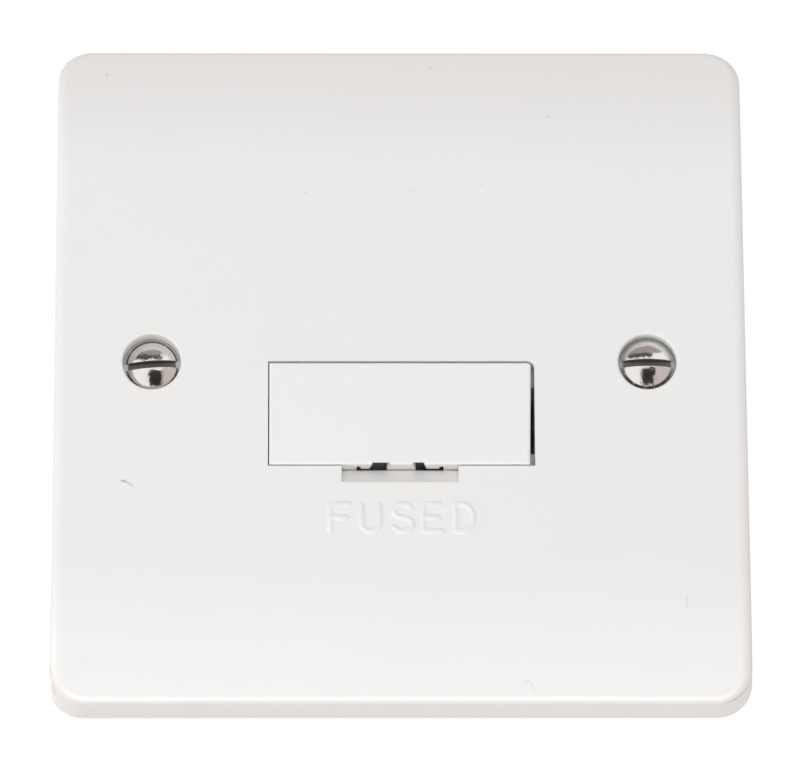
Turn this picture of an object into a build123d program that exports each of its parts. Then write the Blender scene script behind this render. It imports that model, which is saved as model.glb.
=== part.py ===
"""Unswitched fused connection unit for a one-gang flush wall box, in millimetres.

The wall is the plane Y = 0. The face looks along -Y, +Z is up, and the origin is the middle of the plate's
back, half way between the two fixing screws. A level is a distance in front of the wall, so pieces inside
the wall box have negative levels.
"""

import os
from math import radians, tan

from build123d import *

# Front plate
plate_size = 85.2
plate_draft = 3.0
plate_corner_radius = 4.4
plate_face_corner_radius = 4.6
plate_depth = 9.0
plate_edge_depth = 5.2
plate_edge_radius = 1.3
plate_wall = 2.2
flat_band_height = 52.0

# Fixing screws, M3.5 with raised countersunk slotted heads, and their wells in the plate
fixing_spacing = 60.3
fixing_diameter = 3.5
fixing_shank_diameter = 3.1
fixing_length = 25.0
fixing_tip_chamfer = 0.5
fixing_head_diameter = 6.4
fixing_head_dome = 0.8
fixing_head_sinks = {"left": 1.8, "right": 1.15}
fixing_slot_width = 0.9
fixing_slot_depth = 1.1
fixing_slot_turns = {"left": 4.0, "right": 0.0}
fixing_hole_diameter = 4.0
fixing_boss_diameter = 10.6
fixing_boss_level = 1.0
well_diameter = 7.1
well_edge_radius = 0.25
well_undercut = 0.8
head_seat_clearance = 0.06

# Cartridge fuse
fuse_length = 25.4
fuse_cap_diameter = 6.35
fuse_cap_length = 6.0
fuse_cap_end = 0.45
fuse_tube_diameter = 5.8
fuse_tube_clearance = 0.05
fuse_setback = 9.0

# Fuse carrier, which slides out of the plate
carrier_height = 13.1
carrier_depth = 19.0
carrier_face_wall = 2.6
carrier_proud = 0.2
carrier_travel = 14.0
carrier_corner_radius = 0.45
carrier_end_slant = 0.2
carrier_edge_radius = 0.3
cheek_thickness = 1.2
cheek_height = 8.0
fuse_end_room = 1.95
fuse_end_clearance = 0.2
end_stop_height = 4.0
cradle_width = 10.4
cradle_wall = 1.3
cradle_clearance = 0.1
cradle_lip = 1.6
lug_height = 4.0
lug_length = 1.6
lug_reach = 1.1

# Lever pocket under the carrier's lower lip, with two windows beside a tongue
lever_pocket_width = 10.5
lever_pocket_height = 3.0
lever_lip = 1.75
slit_end_width = 0.45
slit_end_lip = 1.0
window_notch = 0.15
window_rise = 1.7
window_left = (-3.33, -1.2)
window_right = (1.5, 2.87)
window_flare = 0.4

# Carrier opening in the plate, its sleeve and the lever notch below it
opening_top = 0.0
opening_corner_radius = 0.9
carrier_gap_above = 0.23
carrier_gap_below = 0.13
carrier_gap_left = 0.12
carrier_gap_right = 0.5
sleeve_wall = 1.5
sleeve_overrun = 0.4
slot_clearance = 0.3
seat_clearance = 0.15
seat_height = 1.2
seat_end = 1.2
notch_width = 14.1
notch_height = 2.05
notch_depth = 1.8
notch_step = 0.3

# Metal strips: fuse clips, neutral link and earth strap
strip_thickness = 0.6
strip_width = 6.0
strip_clearance = 0.8
clip_width = 5.0
clip_clearance = 0.25
clip_lead_level = 1.6
clip_flare = 1.0
clip_leg_gap = 0.6
clip_rivet_gap = 0.2
rivet_diameter = 1.6
rivet_depth = 3.0
rivet_head_diameter = 3.0
rivet_head_height = 0.4
rivet_clearance = 0.05
earth_eye_diameter = 9.0

# Tunnel terminals and their clamp screws
terminal_width = 9.0
terminal_height = 9.0
terminal_depth = 7.4
terminal_edge_radius = 0.4
tunnel_diameter = 4.2
tunnel_cover = 1.0
tunnel_offset = 1.3
rivet_offset = 3.0
upper_terminal_z = 13.0
neutral_pitch = 11.1
clamp_diameter = 4.0
clamp_clearance = 0.05
clamp_tip_gap = 0.1
clamp_back_out = 2.0
clamp_head_diameter = 5.6
clamp_head_height = 1.5
clamp_slot_width = 1.0
clamp_slot_depth = 0.8

# Rear housing and the screws that hold it on the plate
housing_wall = 1.8
housing_floor = 1.6
housing_corner_radius = 2.0
housing_sleeve_gap = 0.4
housing_terminal_gap = 0.7
terminal_side_gap = 0.2
pocket_rib = 1.2
pocket_rib_height = 2.0
pedestal_width = 3.0
wire_entry_diameter = 6.4
clamp_access_diameter = 6.6
strap_slot_clearance = 0.3
boss_clearance = 0.2
ear_spacing = 30.0
ear_width = 8.0
ear_reach = 6.8
ear_thickness = 2.5
ear_level = 2.0
housing_screw_inset = 3.4
housing_screw_diameter = 2.9
housing_screw_length = 6.0
housing_screw_head_diameter = 5.4
housing_screw_head_height = 1.8
housing_screw_slot_width = 0.8
housing_screw_slot_depth = 0.8
housing_screw_clearance = 0.1
pillar_diameter = 6.4

# Levels, from the face back into the wall box
face_level = plate_depth
inner_level = face_level - plate_wall
embed_level = face_level - plate_wall / 2
carrier_face_level = face_level + carrier_proud
carrier_inner_level = carrier_face_level - carrier_face_wall
fuse_level = face_level - fuse_setback
carrier_back = face_level - carrier_depth
sleeve_back = carrier_back - sleeve_overrun
strip_front = sleeve_back - strip_clearance
terminal_front = strip_front - strip_thickness
terminal_back = terminal_front - terminal_depth
tunnel_level = terminal_front - tunnel_cover - tunnel_diameter / 2
housing_back = terminal_back - housing_floor
ear_back = ear_level - ear_thickness
well_level = face_level - max(fixing_head_sinks.values()) - well_undercut

# Places across the face
fixing_x = fixing_spacing / 2
carrier_width = fuse_length + 2 * (fuse_end_room + cheek_thickness)
carrier_side = carrier_width / 2
opening_height = carrier_height + carrier_gap_above + carrier_gap_below
opening_bottom = opening_top - opening_height
opening_left = -carrier_side - carrier_gap_left
opening_right = carrier_side + carrier_gap_right
carrier_top = opening_top - carrier_gap_above
carrier_bottom = carrier_top - carrier_height
carrier_z = (carrier_top + carrier_bottom) / 2
housing_top = upper_terminal_z + terminal_height / 2 + housing_terminal_gap + housing_wall
housing_bottom = opening_bottom - sleeve_wall - housing_sleeve_gap - housing_wall
clip_x = fuse_length / 2 - fuse_cap_length / 2
clip_leg_x = clip_x + clip_width / 2 + clip_leg_gap
clip_rivet_x = clip_leg_x + strip_thickness + clip_rivet_gap + rivet_head_diameter / 2
outer_terminal_x = clip_rivet_x + rivet_offset
terminal_outside = outer_terminal_x + terminal_width / 2
housing_inside = terminal_outside + terminal_side_gap
housing_width = 2 * (housing_inside + housing_wall)
neutral_load_x = neutral_pitch - outer_terminal_x
earth_x = terminal_outside - terminal_width
housing_screw_z = (housing_bottom - housing_screw_inset, housing_top + housing_screw_inset)
lug_z = (carrier_z - lug_height / 2, carrier_z + lug_height / 2)
cheek_z = (carrier_z - cheek_height / 2, carrier_z + cheek_height / 2)

# Wire tunnels, as places in X
live_tunnel_x = outer_terminal_x + tunnel_offset
neutral_supply_tunnel_x = -outer_terminal_x - tunnel_offset
neutral_load_tunnel_x = neutral_load_x + tunnel_offset
earth_tunnels_x = (earth_x - terminal_width / 2, earth_x + terminal_width / 2)
upper_tunnels_x = (neutral_supply_tunnel_x, neutral_load_tunnel_x, *earth_tunnels_x)
lower_tunnels_x = (-live_tunnel_x, live_tunnel_x)


def wall_plane(level):
    """Plane parallel to the wall at a level, with X to the right, Z up and its normal towards the room."""
    return Plane.XZ.offset(level)


def block(x, z, levels, mode=Mode.ADD):
    """Rectangular block between two values of X, of Z and of level, in the part being built."""
    with Locations(((x[0] + x[1]) / 2, -(levels[0] + levels[1]) / 2, (z[0] + z[1]) / 2)):
        Box(abs(x[1] - x[0]), abs(levels[1] - levels[0]), abs(z[1] - z[0]), mode=mode)


def rod(x, z, levels, diameter, mode=Mode.ADD):
    """Round rod square to the wall between two levels, in the part being built."""
    with Locations(Location((x, -levels[0], z), (90, 0, 0))):
        from_base = (Align.CENTER, Align.CENTER, Align.MIN)
        Cylinder(diameter / 2, levels[1] - levels[0], align=from_base, mode=mode)


def curved_block(inset):
    """Square block on the wall with drafted sides and a face that curves back above and below a flat band."""
    size = plate_size - 2 * inset
    depth = plate_depth - inset
    edge_depth = plate_edge_depth - inset
    face_size = size - 2 * depth * tan(radians(plate_draft))
    with BuildPart() as body:
        with BuildSketch(wall_plane(0)):
            RectangleRounded(size, size, plate_corner_radius - inset)
        with BuildSketch(wall_plane(depth)):
            RectangleRounded(face_size, face_size, plate_face_corner_radius - inset)
        loft(ruled=True)
        with BuildSketch(Plane.YZ):
            with BuildLine():
                flat = Line((-depth, -flat_band_height / 2), (-depth, flat_band_height / 2))
                TangentArc(flat @ 1, (-edge_depth, size / 2), tangent=(0, 1))
                TangentArc(flat @ 0, (-edge_depth, -size / 2), tangent=(0, -1))
                Polyline((-edge_depth, size / 2), (0, size / 2), (0, -size / 2), (-edge_depth, -size / 2))
            make_face()
        extrude(amount=size / 2, both=True, mode=Mode.INTERSECT)
    return body.part


# Front plate: a hollow curved shell with screw bosses, pillars for the housing and the carrier's sleeve
with BuildPart() as front_plate:
    add(curved_block(0))
    band_seams = front_plate.edges().filter_by(Axis.X).group_by(Axis.Y)[0]
    rim_edges = front_plate.edges().filter_by(lambda edge: edge.bounding_box().max.Y < -plate_edge_depth / 2)
    fillet(rim_edges - band_seams, plate_edge_radius)
    add(curved_block(plate_wall), mode=Mode.SUBTRACT)

    for x in (-fixing_x, fixing_x):
        rod(x, 0, (fixing_boss_level, embed_level), fixing_boss_diameter)
    for x in (-ear_spacing / 2, ear_spacing / 2):
        for z in housing_screw_z:
            rod(x, z, (ear_level, embed_level), pillar_diameter)
            pilot_levels = (ear_level, ear_back + housing_screw_length + housing_screw_clearance)
            rod(x, z, pilot_levels, housing_screw_diameter + 2 * housing_screw_clearance, Mode.SUBTRACT)
    block(
        (opening_left - sleeve_wall, opening_right + sleeve_wall),
        (opening_bottom - sleeve_wall, opening_top + sleeve_wall),
        (sleeve_back, embed_level),
    )

    # Carrier opening as far as the seat behind the carrier's face, with its one rounded corner
    carrier_seat = carrier_inner_level - seat_clearance
    with BuildSketch(wall_plane(carrier_seat)) as opening:
        with Locations(((opening_left + opening_right) / 2, (opening_top + opening_bottom) / 2)):
            Rectangle(opening_right - opening_left, opening_height)
        fillet(opening.vertices().group_by(Axis.X)[-1].sort_by(Axis.Y)[-1], opening_corner_radius)
    extrude(amount=face_level - carrier_seat, mode=Mode.SUBTRACT)

    # Sleeve behind the seat: full width for the cheeks, and higher between them for the fuse and its clips
    middle_x = (opening_left + seat_end, opening_right - seat_end)
    middle_z = (opening_bottom + seat_height, opening_top - seat_height)
    side_z = (cheek_z[0] - slot_clearance, cheek_z[1] + slot_clearance)
    block(middle_x, middle_z, (sleeve_back, carrier_seat), Mode.SUBTRACT)
    block((opening_left, opening_right), side_z, (sleeve_back, carrier_seat), Mode.SUBTRACT)

    # No seat behind the lever pocket, so that its windows open into the sleeve
    pocket_room = lever_pocket_width / 2 + slot_clearance
    pocket_room_z = (opening_bottom, middle_z[0])
    block((-pocket_room, pocket_room), pocket_room_z, (sleeve_back, carrier_seat), Mode.SUBTRACT)

    # Slots in the sleeve's ends for the carrier's stop lugs
    slot_z = (lug_z[0] - slot_clearance, lug_z[1] + slot_clearance)
    slot_levels = (sleeve_back, carrier_back + lug_length + carrier_travel + slot_clearance)
    block((opening_left - sleeve_wall, opening_left), slot_z, slot_levels, Mode.SUBTRACT)
    block((opening_right, opening_right + sleeve_wall), slot_z, slot_levels, Mode.SUBTRACT)

    # Lever notch: a ramp down to the lower edge of the opening
    with BuildSketch(Plane.YZ):
        with BuildLine():
            Polyline(
                (-face_level, carrier_bottom),
                (notch_depth - face_level, carrier_bottom),
                (notch_depth - face_level, opening_bottom),
                (notch_step - face_level, opening_bottom - notch_height),
                (-face_level, opening_bottom - notch_height),
                close=True,
            )
        make_face()
    extrude(amount=notch_width / 2, both=True, mode=Mode.SUBTRACT)

    # Wells and countersunk holes for the fixing screws
    for x in (-fixing_x, fixing_x):
        rod(x, 0, (well_level, face_level), well_diameter, Mode.SUBTRACT)
        with Locations(Location((x, -well_level, 0), (90, 0, 0))):
            CounterSinkHole(
                fixing_hole_diameter / 2,
                fixing_head_diameter / 2 - well_undercut + head_seat_clearance,
                counter_sink_angle=90,
            )
    face_circles = front_plate.edges().filter_by(GeomType.CIRCLE).group_by(Axis.Y)[0]
    fillet(face_circles.filter_by(lambda edge: edge.is_closed), well_edge_radius)
front_plate.part.label = "front_plate"


def fixing_screw(x, head_sink, slot_turn):
    """Fixing screw in its well: head, plain shank to the wall, thread, and a slot turned by an angle."""
    head_level = face_level - head_sink
    tip_level = head_level - fixing_length
    dome_level = head_level + fixing_head_dome
    neck_level = head_level - (fixing_head_diameter - fixing_shank_diameter) / 2
    with BuildPart() as screw:
        with BuildSketch(Plane((x, 0, 0))):
            with BuildLine():
                stem = Polyline(
                    (0, -dome_level),
                    (0, -tip_level),
                    (fixing_diameter / 2 - fixing_tip_chamfer, -tip_level),
                    (fixing_diameter / 2, -tip_level - fixing_tip_chamfer),
                    (fixing_diameter / 2, 0),
                    (fixing_shank_diameter / 2, 0),
                    (fixing_shank_diameter / 2, -neck_level),
                    (fixing_head_diameter / 2, -head_level),
                )
                TangentArc(stem @ 0, stem @ 1, tangent=(1, 0))
            make_face()
        revolve(axis=Axis((x, 0, 0), (0, 1, 0)))
        with Locations(Location((x, fixing_slot_depth / 2 - dome_level, 0), (0, -slot_turn, 0))):
            Box(fixing_head_diameter, fixing_slot_depth, fixing_slot_width, mode=Mode.SUBTRACT)
    return screw.part


mounting_screw_left = fixing_screw(-fixing_x, fixing_head_sinks["left"], fixing_slot_turns["left"])
mounting_screw_left.label = "mounting_screw_left"
mounting_screw_right = fixing_screw(fixing_x, fixing_head_sinks["right"], fixing_slot_turns["right"])
mounting_screw_right.label = "mounting_screw_right"

# Cutter for the two lever windows: trapezoids on the carrier's underside, under a sloping roof
with BuildPart() as lever_windows:
    lip_back = carrier_face_level - lever_lip
    with BuildSketch(Plane.XY.offset(carrier_bottom)):
        for left, right in (window_left, window_right):
            side = 1 if left > 0 else -1
            with BuildLine():
                Polyline(
                    (left, -carrier_face_level),
                    (right, -carrier_face_level),
                    (right + side * window_flare, -lip_back),
                    (left + side * window_flare, -lip_back),
                    close=True,
                )
            make_face()
    extrude(amount=window_rise)
    roof = Plane(
        origin=(0, -carrier_face_level, carrier_bottom + window_notch),
        x_dir=(1, 0, 0),
        z_dir=(0, window_notch - window_rise, lever_lip),
    )
    split(bisect_by=roof, keep=Keep.BOTTOM)

# Fuse carrier: face, cheeks with stop lugs, end stops and an open-topped cradle for the fuse
with BuildPart() as fuse_carrier:
    with BuildSketch(wall_plane(carrier_inner_level)) as outline:
        with BuildLine():
            Polyline(
                (-carrier_side, carrier_bottom),
                (carrier_side - carrier_end_slant / 2, carrier_bottom),
                (carrier_side + carrier_end_slant / 2, carrier_top),
                (-carrier_side, carrier_top),
                close=True,
            )
        make_face()
        fillet(outline.vertices().group_by(Axis.Y)[-1].sort_by(Axis.X)[-1], carrier_corner_radius)
    extrude(amount=carrier_face_wall)
    fillet(fuse_carrier.faces().sort_by(Axis.Y)[0].edges(), carrier_edge_radius)

    cheek_inside = carrier_side - cheek_thickness
    stop_z = (carrier_z - end_stop_height / 2, carrier_z + end_stop_height / 2)
    stop_levels = (fuse_level - end_stop_height / 2, carrier_inner_level)
    for side in (-1, 1):
        # Each lug reaches as far into its slot, so the right one is longer by the wider gap
        lug_gap = carrier_gap_right if side > 0 else carrier_gap_left
        lug_tip = carrier_side + lug_gap + lug_reach
        cheek_x = (side * cheek_inside, side * (carrier_side - carrier_end_slant / 2))
        block(cheek_x, cheek_z, (carrier_back, carrier_inner_level))
        block((side * cheek_inside, side * lug_tip), lug_z, (carrier_back, carrier_back + lug_length))
        block((side * (fuse_length / 2 + fuse_end_clearance), side * cheek_inside), stop_z, stop_levels)

    cradle_radius = fuse_tube_diameter / 2 + cradle_clearance
    block(
        (-cradle_width / 2, cradle_width / 2),
        (carrier_z - cradle_radius - cradle_wall, carrier_z + cradle_lip),
        (fuse_level - cradle_radius - cradle_wall, carrier_inner_level),
    )
    with BuildSketch(Plane.YZ):
        with Locations((-fuse_level, carrier_z)):
            Circle(cradle_radius)
            Rectangle(2 * cradle_radius, carrier_height, align=(Align.CENTER, Align.MIN))
    extrude(amount=cradle_width / 2, both=True, mode=Mode.SUBTRACT)

    # Lever pocket behind the lower lip, with a tongue between the windows and a slit at each end
    pocket_levels = (carrier_inner_level, lip_back)
    pocket_z = (carrier_bottom, carrier_bottom + lever_pocket_height)
    pocket_end = lever_pocket_width / 2
    block((-pocket_end, window_left[1] - window_flare), pocket_z, pocket_levels, Mode.SUBTRACT)
    block((window_right[0] + window_flare, pocket_end), pocket_z, pocket_levels, Mode.SUBTRACT)
    slit_levels = (carrier_inner_level, carrier_face_level - slit_end_lip)
    for side in (-1, 1):
        slit_x = (side * pocket_end, side * (pocket_end - slit_end_width))
        block(slit_x, pocket_z, slit_levels, Mode.SUBTRACT)
    add(lever_windows.part, mode=Mode.SUBTRACT)
fuse_carrier.part.label = "fuse_carrier"

# Fuse: a ceramic tube with a metal cup on each end
with BuildPart() as fuse_tube:
    with Locations((0, -fuse_level, carrier_z)):
        Cylinder(
            fuse_tube_diameter / 2,
            fuse_length - 2 * (fuse_cap_end + fuse_tube_clearance),
            rotation=(0, 90, 0),
        )
fuse_tube.part.label = "fuse_tube"


def fuse_cap(side):
    """Cup on one end of the fuse, open towards the middle."""
    with BuildPart() as cap:
        with BuildSketch(Plane.YZ.offset(side * fuse_length / 2)):
            with Locations((-fuse_level, carrier_z)):
                Circle(fuse_cap_diameter / 2)
        extrude(amount=-side * fuse_cap_length)
        fillet(cap.faces().sort_by(Axis.X)[-1 if side > 0 else 0].edges(), fuse_cap_end / 2)
        with BuildSketch(Plane.YZ.offset(side * (fuse_length / 2 - fuse_cap_end))):
            with Locations((-fuse_level, carrier_z)):
                Circle(fuse_tube_diameter / 2 + fuse_tube_clearance)
        extrude(amount=-side * fuse_cap_length, mode=Mode.SUBTRACT)
    return cap.part


fuse_cap_left = fuse_cap(-1)
fuse_cap_left.label = "fuse_cap_left"
fuse_cap_right = fuse_cap(1)
fuse_cap_right.label = "fuse_cap_right"

# Load fuse clip: two flared jaws on a base, and a strip down and out to the live terminal
clip_side = fuse_cap_diameter / 2 + clip_clearance
clip_base_front = fuse_level - clip_side
clip_base_back = clip_base_front - strip_thickness
strip_z = (carrier_z - strip_width / 2, carrier_z + strip_width / 2)
with BuildPart() as load_fuse_clip:
    with BuildSketch(Plane.YZ.offset(clip_x - clip_width / 2)):
        with BuildLine():
            lead_y = -(fuse_level + clip_lead_level)
            jaws = Polyline(
                (lead_y - 2 * clip_flare, carrier_z + clip_side + clip_flare),
                (lead_y, carrier_z + clip_side),
                (-clip_base_front, carrier_z + clip_side),
                (-clip_base_front, carrier_z - clip_side),
                (lead_y, carrier_z - clip_side),
                (lead_y - 2 * clip_flare, carrier_z - clip_side - clip_flare),
            )
            offset(jaws, amount=strip_thickness, side=Side.LEFT)
        make_face()
    extrude(amount=clip_width)
    block((clip_x, clip_leg_x + strip_thickness), strip_z, (clip_base_back, clip_base_front))
    block((clip_leg_x, clip_leg_x + strip_thickness), strip_z, (terminal_front, clip_base_front))
    block((clip_leg_x, clip_rivet_x + rivet_head_diameter), strip_z, (terminal_front, strip_front))
    rod(
        clip_rivet_x,
        carrier_z,
        (terminal_front, strip_front),
        rivet_diameter + 2 * rivet_clearance,
        Mode.SUBTRACT,
    )
load_fuse_clip.part.label = "load_fuse_clip"

supply_fuse_clip = mirror(load_fuse_clip.part, about=Plane.YZ)
supply_fuse_clip.label = "supply_fuse_clip"


def terminal(x, z, width, tunnels_x, rivet_x):
    """Brass block with a wire tunnel along Z and a clamp hole from behind at each place, and a rivet hole."""
    with BuildPart() as body:
        block(
            (x - width / 2, x + width / 2),
            (z - terminal_height / 2, z + terminal_height / 2),
            (terminal_back, terminal_front),
        )
        fillet(body.edges().filter_by(Axis.Z), terminal_edge_radius)
        for tunnel_x in tunnels_x:
            with Locations((tunnel_x, -tunnel_level, z)):
                Cylinder(tunnel_diameter / 2, terminal_height, mode=Mode.SUBTRACT)
            clamp_hole = clamp_diameter + 2 * clamp_clearance
            rod(tunnel_x, z, (terminal_back, tunnel_level), clamp_hole, Mode.SUBTRACT)
        rivet_levels = (terminal_front - rivet_depth - rivet_clearance, terminal_front)
        rod(rivet_x, z, rivet_levels, rivet_diameter + 2 * rivet_clearance, Mode.SUBTRACT)
    return body.part


live_load_terminal = terminal(outer_terminal_x, carrier_z, terminal_width, [live_tunnel_x], clip_rivet_x)
live_load_terminal.label = "live_load_terminal"
live_supply_terminal = mirror(live_load_terminal, about=Plane.YZ)
live_supply_terminal.label = "live_supply_terminal"

neutral_supply_rivet_x = rivet_offset - outer_terminal_x
neutral_load_rivet_x = neutral_load_x - rivet_offset
neutral_supply_terminal = terminal(
    -outer_terminal_x,
    upper_terminal_z,
    terminal_width,
    [neutral_supply_tunnel_x],
    neutral_supply_rivet_x,
)
neutral_supply_terminal.label = "neutral_supply_terminal"
neutral_load_terminal = terminal(
    neutral_load_x,
    upper_terminal_z,
    terminal_width,
    [neutral_load_tunnel_x],
    neutral_load_rivet_x,
)
neutral_load_terminal.label = "neutral_load_terminal"
earth_terminal = terminal(earth_x, upper_terminal_z, 2 * terminal_width, earth_tunnels_x, earth_x)
earth_terminal.label = "earth_terminal"

# Neutral link: a short strip riveted across the two neutral terminals
upper_strip_z = (upper_terminal_z - strip_width / 2, upper_terminal_z + strip_width / 2)
with BuildPart() as neutral_link:
    link_left = neutral_supply_rivet_x - rivet_head_diameter / 2
    link_right = neutral_load_rivet_x + rivet_head_diameter / 2
    block((link_left, link_right), upper_strip_z, (terminal_front, strip_front))
    for x in (neutral_supply_rivet_x, neutral_load_rivet_x):
        hole_diameter = rivet_diameter + 2 * rivet_clearance
        rod(x, upper_terminal_z, (terminal_front, strip_front), hole_diameter, Mode.SUBTRACT)
neutral_link.part.label = "neutral_link"

# Earth strap: from the earth terminal forward along the housing's side, then out to the right fixing screw
strap_leg_x = (terminal_outside - terminal_side_gap - strip_thickness, terminal_outside - terminal_side_gap)
strap_levels = (fixing_boss_level - strip_thickness, fixing_boss_level)
with BuildPart() as earth_strap:
    block((earth_x - rivet_head_diameter, strap_leg_x[1]), upper_strip_z, (terminal_front, strip_front))
    block(strap_leg_x, upper_strip_z, (terminal_front, fixing_boss_level))
    with BuildSketch(wall_plane(strap_levels[0])):
        with Locations((fixing_x, 0)):
            Circle(earth_eye_diameter / 2)
        with Locations(((strap_leg_x[0] + strap_leg_x[1]) / 2, upper_terminal_z)):
            Rectangle(strip_thickness, strip_width)
        make_hull()
        with Locations((fixing_x, 0)):
            Circle(fixing_hole_diameter / 2, mode=Mode.SUBTRACT)
    extrude(amount=strip_thickness)
    rod(
        earth_x,
        upper_terminal_z,
        (terminal_front, strip_front),
        rivet_diameter + 2 * rivet_clearance,
        Mode.SUBTRACT,
    )
earth_strap.part.label = "earth_strap"


def rivets(places):
    """Rivets through a strip into the terminals behind it, at places in X and Z."""
    with BuildPart() as group:
        for x, z in places:
            rod(x, z, (terminal_front - rivet_depth, strip_front), rivet_diameter)
            rod(x, z, (strip_front, strip_front + rivet_head_height), rivet_head_diameter)
    return group.part


clip_rivets = rivets([(-clip_rivet_x, carrier_z), (clip_rivet_x, carrier_z)])
clip_rivets.label = "clip_rivets"
link_rivets = rivets([(neutral_supply_rivet_x, upper_terminal_z), (neutral_load_rivet_x, upper_terminal_z)])
link_rivets.label = "link_rivets"
earth_rivet = rivets([(earth_x, upper_terminal_z)])
earth_rivet.label = "earth_rivet"


def clamp_screws(places_x, z):
    """Slotted clamp screws, backed out so that each tip just clears its tunnel."""
    tip_level = tunnel_level - tunnel_diameter / 2 - clamp_tip_gap
    seat_level = terminal_back - clamp_back_out
    end_level = seat_level - clamp_head_height
    with BuildPart() as group:
        for x in places_x:
            rod(x, z, (seat_level, tip_level), clamp_diameter)
            rod(x, z, (end_level, seat_level), clamp_head_diameter)
            slot_x = (x - clamp_head_diameter / 2, x + clamp_head_diameter / 2)
            slot_z = (z - clamp_slot_width / 2, z + clamp_slot_width / 2)
            block(slot_x, slot_z, (end_level, end_level + clamp_slot_depth), Mode.SUBTRACT)
    return group.part


live_terminal_screws = clamp_screws(lower_tunnels_x, carrier_z)
live_terminal_screws.label = "live_terminal_screws"
neutral_terminal_screws = clamp_screws((neutral_supply_tunnel_x, neutral_load_tunnel_x), upper_terminal_z)
neutral_terminal_screws.label = "neutral_terminal_screws"
earth_terminal_screws = clamp_screws(earth_tunnels_x, upper_terminal_z)
earth_terminal_screws.label = "earth_terminal_screws"

# Rear housing: a deep tray on the plate's back, with terminal pockets, clip pedestals and screw ears
with BuildPart() as rear_housing:
    housing_x = (-housing_width / 2, housing_width / 2)
    inside_x = (-housing_inside, housing_inside)
    block(housing_x, (housing_bottom, housing_top), (housing_back, inner_level))
    fillet(rear_housing.edges().filter_by(Axis.Y), housing_corner_radius)
    inside_z = (housing_bottom + housing_wall, housing_top - housing_wall)
    block(inside_x, inside_z, (terminal_back, inner_level), Mode.SUBTRACT)

    # Ribs around each terminal, cut back to the terminal's own outline
    terminal_places = (
        (-outer_terminal_x, carrier_z, terminal_width),
        (outer_terminal_x, carrier_z, terminal_width),
        (-outer_terminal_x, upper_terminal_z, terminal_width),
        (neutral_load_x, upper_terminal_z, terminal_width),
        (earth_x, upper_terminal_z, 2 * terminal_width),
    )
    rib_levels = (terminal_back, terminal_back + pocket_rib_height)
    for margin, mode in ((terminal_side_gap + pocket_rib, Mode.ADD), (terminal_side_gap, Mode.SUBTRACT)):
        for x, z, width in terminal_places:
            left, right = x - width / 2 - margin, x + width / 2 + margin
            pocket_x = (max(left, -housing_inside), min(right, housing_inside))
            pocket_z = (z - terminal_height / 2 - margin, z + terminal_height / 2 + margin)
            block(pocket_x, pocket_z, rib_levels, mode)
    for x in (-clip_x, clip_x):
        block((x - pedestal_width / 2, x + pedestal_width / 2), strip_z, (terminal_back, clip_base_back))

    # Wire entries through the walls and ribs, and access holes behind the clamp screws
    for places_x, z, wall_z in (
        (upper_tunnels_x, upper_terminal_z, housing_top),
        (lower_tunnels_x, carrier_z, housing_bottom),
    ):
        for x in places_x:
            with Locations((x, -tunnel_level, (z + wall_z) / 2)):
                Cylinder(wire_entry_diameter / 2, abs(wall_z - z), mode=Mode.SUBTRACT)
            rod(x, z, (housing_back, terminal_back), clamp_access_diameter, Mode.SUBTRACT)

    # Slot for the earth strap, and clearance around the plate's fixing bosses
    slot_z = (0, upper_strip_z[1] + strap_slot_clearance)
    slot_levels = (strap_levels[0] - strap_slot_clearance, strap_levels[1] + strap_slot_clearance)
    block((housing_inside, housing_width / 2), slot_z, slot_levels, Mode.SUBTRACT)
    for x in (-fixing_x, fixing_x):
        relief_levels = (fixing_boss_level - boss_clearance, inner_level)
        rod(x, 0, relief_levels, fixing_boss_diameter + 2 * boss_clearance, Mode.SUBTRACT)

    # Ears against the plate's pillars
    for x in (-ear_spacing / 2, ear_spacing / 2):
        for z, ear_z in zip(
            housing_screw_z,
            ((housing_bottom - ear_reach, housing_bottom), (housing_top, housing_top + ear_reach)),
        ):
            block((x - ear_width / 2, x + ear_width / 2), ear_z, (ear_back, ear_level))
            hole_diameter = housing_screw_diameter + 2 * housing_screw_clearance
            rod(x, z, (ear_back, ear_level), hole_diameter, Mode.SUBTRACT)
rear_housing.part.label = "rear_housing"

# Housing screws, from behind through the ears into the pillars
with BuildPart() as housing_screws:
    for x in (-ear_spacing / 2, ear_spacing / 2):
        for z in housing_screw_z:
            head_back = ear_back - housing_screw_head_height
            rod(x, z, (ear_back, ear_back + housing_screw_length), housing_screw_diameter)
            rod(x, z, (head_back, ear_back), housing_screw_head_diameter)
            slot_x = (x - housing_screw_head_diameter / 2, x + housing_screw_head_diameter / 2)
            slot_z = (z - housing_screw_slot_width / 2, z + housing_screw_slot_width / 2)
            block(slot_x, slot_z, (head_back, head_back + housing_screw_slot_depth), Mode.SUBTRACT)
housing_screws.part.label = "housing_screws"

os.makedirs("parts", exist_ok=True)
for piece in (
    front_plate.part,
    mounting_screw_left,
    mounting_screw_right,
    fuse_carrier.part,
    fuse_tube.part,
    fuse_cap_left,
    fuse_cap_right,
    supply_fuse_clip,
    load_fuse_clip.part,
    live_supply_terminal,
    live_load_terminal,
    neutral_supply_terminal,
    neutral_load_terminal,
    earth_terminal,
    neutral_link.part,
    earth_strap.part,
    clip_rivets,
    link_rivets,
    earth_rivet,
    live_terminal_screws,
    neutral_terminal_screws,
    earth_terminal_screws,
    rear_housing.part,
    housing_screws.part,
):
    export_step(piece, f"parts/{piece.label}.step")
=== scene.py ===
import math

import bpy
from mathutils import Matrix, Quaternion, Vector


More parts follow.
